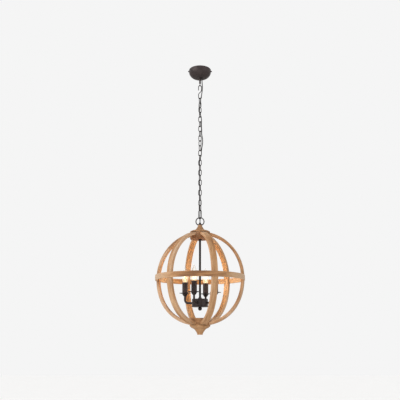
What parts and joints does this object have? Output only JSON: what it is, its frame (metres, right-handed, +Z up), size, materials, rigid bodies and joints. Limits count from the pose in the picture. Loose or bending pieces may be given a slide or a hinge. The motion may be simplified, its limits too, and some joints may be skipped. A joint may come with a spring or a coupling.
{
  "type": "orb chandelier",
  "caption": "Hanging orb chandelier: wooden ribs and a wooden band around candle lamps on curved arms, on a chain and hook under a domed ceiling canopy.",
  "frame": {"origin": "on the ceiling plane, at the middle of the canopy's open face", "axes": "+Z up, -Z down the chain; the pictured side looks along +Y, so the front is at -Y and +X is to the right"},
  "size_m": [0.4569, 0.457, 1.4375],
  "materials": {
    "dark_metal": "satin dark bronze",
    "chain_metal": "satin dark bronze",
    "fixings": "zinc plated",
    "wood": "light brown stain, matt",
    "wood_dark": "brown stain, matt",
    "cord": "matt black jacket",
    "bushing": "matt",
    "lampholder": "matt",
    "bulb_glass": "clear, polished"
  },
  "bodies": {
    "ceiling": {"canopy": "dark_metal", "mounting_strap": "fixings", "canopy_screws": "dark_metal", "canopy_stem": "dark_metal", "stem_nuts": "fixings", "cord_bushing": "bushing", "supply_cord": "cord"},
    "s_hook": {"s_hook": "chain_metal"},
    "link_01": {"chain_link_01": "chain_metal"},
    "link_02": {"chain_link_02": "chain_metal"},
    "link_03": {"chain_link_03": "chain_metal"},
    "link_04": {"chain_link_04": "chain_metal"},
    "link_05": {"chain_link_05": "chain_metal"},
    "link_06": {"chain_link_06": "chain_metal"},
    "link_07": {"chain_link_07": "chain_metal"},
    "link_08": {"chain_link_08": "chain_metal"},
    "link_09": {"chain_link_09": "chain_metal"},
    "link_10": {"chain_link_10": "chain_metal"},
    "link_11": {"chain_link_11": "chain_metal"},
    "link_12": {"chain_link_12": "chain_metal"},
    "link_13": {"chain_link_13": "chain_metal"},
    "link_14": {"chain_link_14": "chain_metal"},
    "link_15": {"chain_link_15": "chain_metal"},
    "link_16": {"chain_link_16": "chain_metal"},
    "link_17": {"chain_link_17": "chain_metal"},
    "link_18": {"chain_link_18": "chain_metal"},
    "link_19": {"chain_link_19": "chain_metal"},
    "link_20": {"chain_link_20": "chain_metal"},
    "link_21": {"chain_link_21": "chain_metal"},
    "link_22": {"chain_link_22": "chain_metal"},
    "link_23": {"chain_link_23": "chain_metal"},
    "end_link": {"end_link": "chain_metal"},
    "orb": {"hanging_eye": "dark_metal", "top_finial": "wood", "top_hub": "wood_dark", "bottom_hub": "wood_dark", "bottom_finial": "wood_dark", "rib_1": "wood", "rib_2": "wood", "rib_3": "wood", "rib_4": "wood", "rib_5": "wood", "rib_6": "wood", "rib_screws": "fixings", "equator_ring": "wood", "center_rod": "dark_metal", "rod_nuts": "dark_metal", "cluster_body": "dark_metal", "cluster_cover": "dark_metal", "ball_finial": "dark_metal", "arms": "dark_metal", "candle_cups": "dark_metal", "bobeches": "dark_metal", "candle_sleeves": "dark_metal", "lampholders": "lampholder"},
    "bulb_1": {"bulb_1": "bulb_glass"},
    "bulb_2": {"bulb_2": "bulb_glass"},
    "bulb_3": {"bulb_3": "bulb_glass"},
    "bulb_4": {"bulb_4": "bulb_glass"}
  },
  "joints": [
    {"name": "hook_swing", "type": "hinge", "parent": "ceiling", "child": "s_hook", "pos_m": [0, 0, -0.096], "axis": [0, 1, 0], "range_deg": [-20, 20], "deforming": ["supply_cord"]},
    {"name": "link_01_swing", "type": "hinge", "parent": "s_hook", "child": "link_01", "pos_m": [0, 0, -0.171], "axis": [1, 0, 0], "range_deg": [-15, 15]},
    {"name": "link_02_swing", "type": "hinge", "parent": "link_01", "child": "link_02", "pos_m": [0, 0, -0.1985], "axis": [-0.5299, -0.848, 0], "range_deg": [-15, 15]},
    {"name": "link_03_swing", "type": "hinge", "parent": "link_02", "child": "link_03", "pos_m": [0, 0, -0.2261], "axis": [-0.7274, 0.6862, 0], "range_deg": [-15, 15]},
    {"name": "link_04_swing", "type": "hinge", "parent": "link_03", "child": "link_04", "pos_m": [0, 0, -0.2537], "axis": [0.8158, 0.5783, 0], "range_deg": [-15, 15]},
    {"name": "link_05_swing", "type": "hinge", "parent": "link_04", "child": "link_05", "pos_m": [0, 0, -0.2813], "axis": [0.4067, -0.9135, 0], "range_deg": [-15, 15]},
    {"name": "link_06_swing", "type": "hinge", "parent": "link_05", "child": "link_06", "pos_m": [0, 0, -0.3089], "axis": [-0.9135, -0.4067, 0], "range_deg": [-15, 15]},
    {"name": "link_07_swing", "type": "hinge", "parent": "link_06", "child": "link_07", "pos_m": [0, 0, -0.3365], "axis": [-0.4067, 0.9135, 0], "range_deg": [-15, 15]},
    {"name": "link_08_swing", "type": "hinge", "parent": "link_07", "child": "link_08", "pos_m": [0, 0, -0.3641], "axis": [0.9135, 0.4067, 0], "range_deg": [-15, 15]},
    {"name": "link_09_swing", "type": "hinge", "parent": "link_08", "child": "link_09", "pos_m": [0, 0, -0.3917], "axis": [0.4067, -0.9135, 0], "range_deg": [-15, 15]},
    {"name": "link_10_swing", "type": "hinge", "parent": "link_09", "child": "link_10", "pos_m": [0, 0, -0.4193], "axis": [-0.8191, -0.5736, 0], "range_deg": [-15, 15]},
    {"name": "link_11_swing", "type": "hinge", "parent": "link_10", "child": "link_11", "pos_m": [0, 0, -0.4469], "axis": [-0.7193, 0.6947, 0], "range_deg": [-15, 15]},
    {"name": "link_12_swing", "type": "hinge", "parent": "link_11", "child": "link_12", "pos_m": [0, 0, -0.4745], "axis": [0.5446, 0.8387, 0], "range_deg": [-15, 15]},
    {"name": "link_13_swing", "type": "hinge", "parent": "link_12", "child": "link_13", "pos_m": [0, 0, -0.5021], "axis": [0.9272, -0.3746, 0], "range_deg": [-15, 15]},
    {"name": "link_14_swing", "type": "hinge", "parent": "link_13", "child": "link_14", "pos_m": [0, 0, -0.5297], "axis": [-0.3706, -0.9288, 0], "range_deg": [-15, 15]},
    {"name": "link_15_swing", "type": "hinge", "parent": "link_14", "child": "link_15", "pos_m": [0, 0, -0.5573], "axis": [-0.9304, 0.3665, 0], "range_deg": [-15, 15]},
    {"name": "link_16_swing", "type": "hinge", "parent": "link_15", "child": "link_16", "pos_m": [0, 0, -0.5849], "axis": [0.3624, 0.932, 0], "range_deg": [-15, 15]},
    {"name": "link_17_swing", "type": "hinge", "parent": "link_16", "child": "link_17", "pos_m": [0, 0, -0.6125], "axis": [0.9336, -0.3584, 0], "range_deg": [-15, 15]},
    {"name": "link_18_swing", "type": "hinge", "parent": "link_17", "child": "link_18", "pos_m": [0, 0, -0.6401], "axis": [-0.3543, -0.9351, 0], "range_deg": [-15, 15]},
    {"name": "link_19_swing", "type": "hinge", "parent": "link_18", "child": "link_19", "pos_m": [0, 0, -0.6677], "axis": [-0.9367, 0.3502, 0], "range_deg": [-15, 15]},
    {"name": "link_20_swing", "type": "hinge", "parent": "link_19", "child": "link_20", "pos_m": [0, 0, -0.6953], "axis": [0.3461, 0.9382, 0], "range_deg": [-15, 15]},
    {"name": "link_21_swing", "type": "hinge", "parent": "link_20", "child": "link_21", "pos_m": [0, 0, -0.7229], "axis": [0.9397, -0.342, 0], "range_deg": [-15, 15]},
    {"name": "link_22_swing", "type": "hinge", "parent": "link_21", "child": "link_22", "pos_m": [0, 0, -0.7505], "axis": [-0.4305, -0.9026, 0], "range_deg": [-15, 15]},
    {"name": "link_23_swing", "type": "hinge", "parent": "link_22", "child": "link_23", "pos_m": [0, 0, -0.7781], "axis": [-0.8572, 0.515, 0], "range_deg": [-15, 15]},
    {"name": "end_link_swing", "type": "hinge", "parent": "link_23", "child": "end_link", "pos_m": [0, 0, -0.8057], "axis": [0.5948, 0.8039, 0], "range_deg": [-15, 15]},
    {"name": "orb_swing", "type": "hinge", "parent": "end_link", "child": "orb", "pos_m": [0, 0, -0.8483], "axis": [0.7431, -0.6691, 0], "range_deg": [-10, 10]},
    {"name": "bulb_1_out", "type": "slide", "parent": "orb", "child": "bulb_1", "axis": [0, 0, 1], "range_m": [0, 0.03]},
    {"name": "bulb_2_out", "type": "slide", "parent": "orb", "child": "bulb_2", "axis": [0, 0, 1], "range_m": [0, 0.03]},
    {"name": "bulb_3_out", "type": "slide", "parent": "orb", "child": "bulb_3", "axis": [0, 0, 1], "range_m": [0, 0.03]},
    {"name": "bulb_4_out", "type": "slide", "parent": "orb", "child": "bulb_4", "axis": [0, 0, 1], "range_m": [0, 0.03]}
  ]
}
